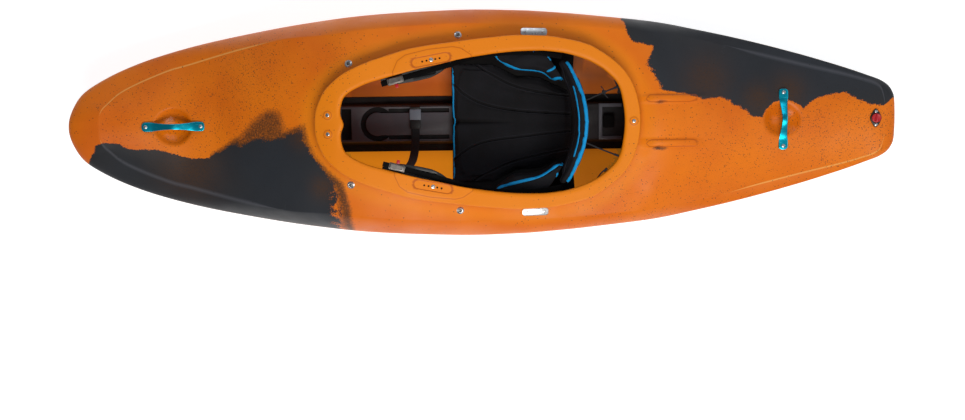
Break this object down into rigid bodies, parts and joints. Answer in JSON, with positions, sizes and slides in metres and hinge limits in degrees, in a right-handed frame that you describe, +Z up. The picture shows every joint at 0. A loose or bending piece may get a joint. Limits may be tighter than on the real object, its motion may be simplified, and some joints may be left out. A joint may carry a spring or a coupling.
{
  "type": "whitewater kayak",
  "caption": "Short whitewater kayak: moulded shell with a cockpit, outfitted with seat, hip pads, ratcheted backband, thigh grips, sliding footrest, grab handles and drain plug.",
  "frame": {"origin": "centre of the box's underside, on the flat of the hull's bottom", "axes": "+X to the stern, -X to the bow, +Y to the side called left here, +Z up"},
  "size_m": [2.4, 0.6594, 0.41],
  "materials": {
    "hull_plastic": "satin",
    "black_plastic": "matte",
    "padding_cloth": "matte",
    "foam": "matte",
    "teal_alloy": "satin",
    "steel": "satin",
    "grey_plastic": "matte",
    "red_plastic": "satin",
    "seal_rubber": "matte",
    "webbing": "matte",
    "bare_alloy": "satin"
  },
  "bodies": {
    "root": {"hull_shell": "hull_plastic", "bow_handle": "teal_alloy", "stern_handle": "teal_alloy", "bow_handle_screw_front": "steel", "bow_handle_screw_rear": "steel", "stern_handle_screw_right": "steel", "stern_handle_screw_left": "steel", "drain_screw_right": "steel", "drain_screw_left": "steel", "security_screw_left_front": "steel", "security_screw_left_rear": "steel", "security_screw_right_front": "steel", "security_screw_right_rear": "steel", "rail_screw_left": "steel", "rail_screw_right": "steel", "seat_screw_left": "steel", "seat_screw_right": "steel", "rim_bolt_left": "steel", "rim_bolt_right": "steel", "rim_screw_rear": "steel", "thigh_bolt_left": "steel", "thigh_bolt_right": "steel", "security_plate_left": "steel", "security_plate_right": "steel", "ratchet_base_left": "steel", "ratchet_base_right": "steel", "footrest_rail_left": "bare_alloy", "footrest_rail_right": "bare_alloy", "drain_flange": "black_plastic", "thigh_grip_left": "black_plastic", "thigh_grip_right": "black_plastic", "centre_beam": "black_plastic", "beam_clip": "black_plastic", "seat_pan": "black_plastic", "seat_side_left": "black_plastic", "seat_side_right": "black_plastic", "strap_anchor": "black_plastic", "beam_frame": "grey_plastic", "buckle_socket": "grey_plastic", "bow_pillar": "foam", "stern_pillar": "foam", "seat_pad": "padding_cloth", "hip_pad_left": "padding_cloth", "hip_pad_right": "padding_cloth", "back_cord_left": "webbing", "back_cord_right": "webbing", "bottle_strap": "webbing"},
    "backband": {"backband": "padding_cloth", "backband_plate": "black_plastic", "ladder_strap_left": "black_plastic", "ladder_strap_right": "black_plastic"},
    "ratchet_lever_left": {"ratchet_lever_left": "steel"},
    "ratchet_lever_right": {"ratchet_lever_right": "steel"},
    "ratchet_release_left": {"ratchet_release_left": "red_plastic"},
    "ratchet_release_right": {"ratchet_release_right": "red_plastic"},
    "drain_seal": {"drain_seal": "seal_rubber"},
    "drain_plug": {"drain_plug": "red_plastic"},
    "footrest": {"footrest_plate": "black_plastic", "footrest_foam": "foam"},
    "buckle_clip": {"buckle_clip": "grey_plastic"}
  },
  "joints": [
    {"name": "backband_slide", "type": "slide", "parent": "root", "child": "backband", "axis": [1, 0, 0], "range_m": [0, 0.035], "deforming": ["ladder_strap_left", "ladder_strap_right", "back_cord_left", "back_cord_right"]},
    {"name": "ratchet_lever_left_tilt", "type": "hinge", "parent": "root", "child": "ratchet_lever_left", "pos_m": [-0.2297, 0.12597, 0.38827], "axis": [-0.2641, 0.9645, 0], "range_deg": [0, 55], "stiffness_Nm_per_rad": 0.05},
    {"name": "ratchet_lever_right_tilt", "type": "hinge", "parent": "root", "child": "ratchet_lever_right", "pos_m": [-0.2297, -0.12597, 0.38827], "axis": [0.2641, 0.9645, 0], "range_deg": [0, 55], "stiffness_Nm_per_rad": 0.05},
    {"name": "ratchet_release_left_press", "type": "hinge", "parent": "root", "child": "ratchet_release_left", "pos_m": [-0.24681, 0.11113, 0.38584], "axis": [0.9579, 0.2623, -0.1168], "range_deg": [0, 12], "stiffness_Nm_per_rad": 0.02},
    {"name": "ratchet_release_right_press", "type": "hinge", "parent": "root", "child": "ratchet_release_right", "pos_m": [-0.24681, -0.11113, 0.38584], "axis": [-0.9579, 0.2623, 0.1168], "range_deg": [0, 12], "stiffness_Nm_per_rad": 0.02},
    {"name": "drain_lift", "type": "slide", "parent": "root", "child": "drain_seal", "axis": [-0.0199, 0, 0.9998], "range_m": [0, 0.009]},
    {"name": "drain_turn", "type": "hinge", "parent": "drain_seal", "child": "drain_plug", "pos_m": [1.135, 0, 0.20521], "axis": [-0.0199, 0, 0.9998], "range_deg": [0, 1085]},
    {"name": "footrest_slide", "type": "slide", "parent": "root", "child": "footrest", "axis": [1, 0, 0], "range_m": [-0.07, 0.1]},
    {"name": "buckle_clip_pull", "type": "slide", "parent": "root", "child": "buckle_clip", "axis": [0, -1, 0], "range_m": [0, 0.026], "deforming": ["bottle_strap"]}
  ],
  "couplings": [
    {"joint": "drain_turn", "follows": "drain_lift", "rad_per_m": 2094.4}
  ]
}
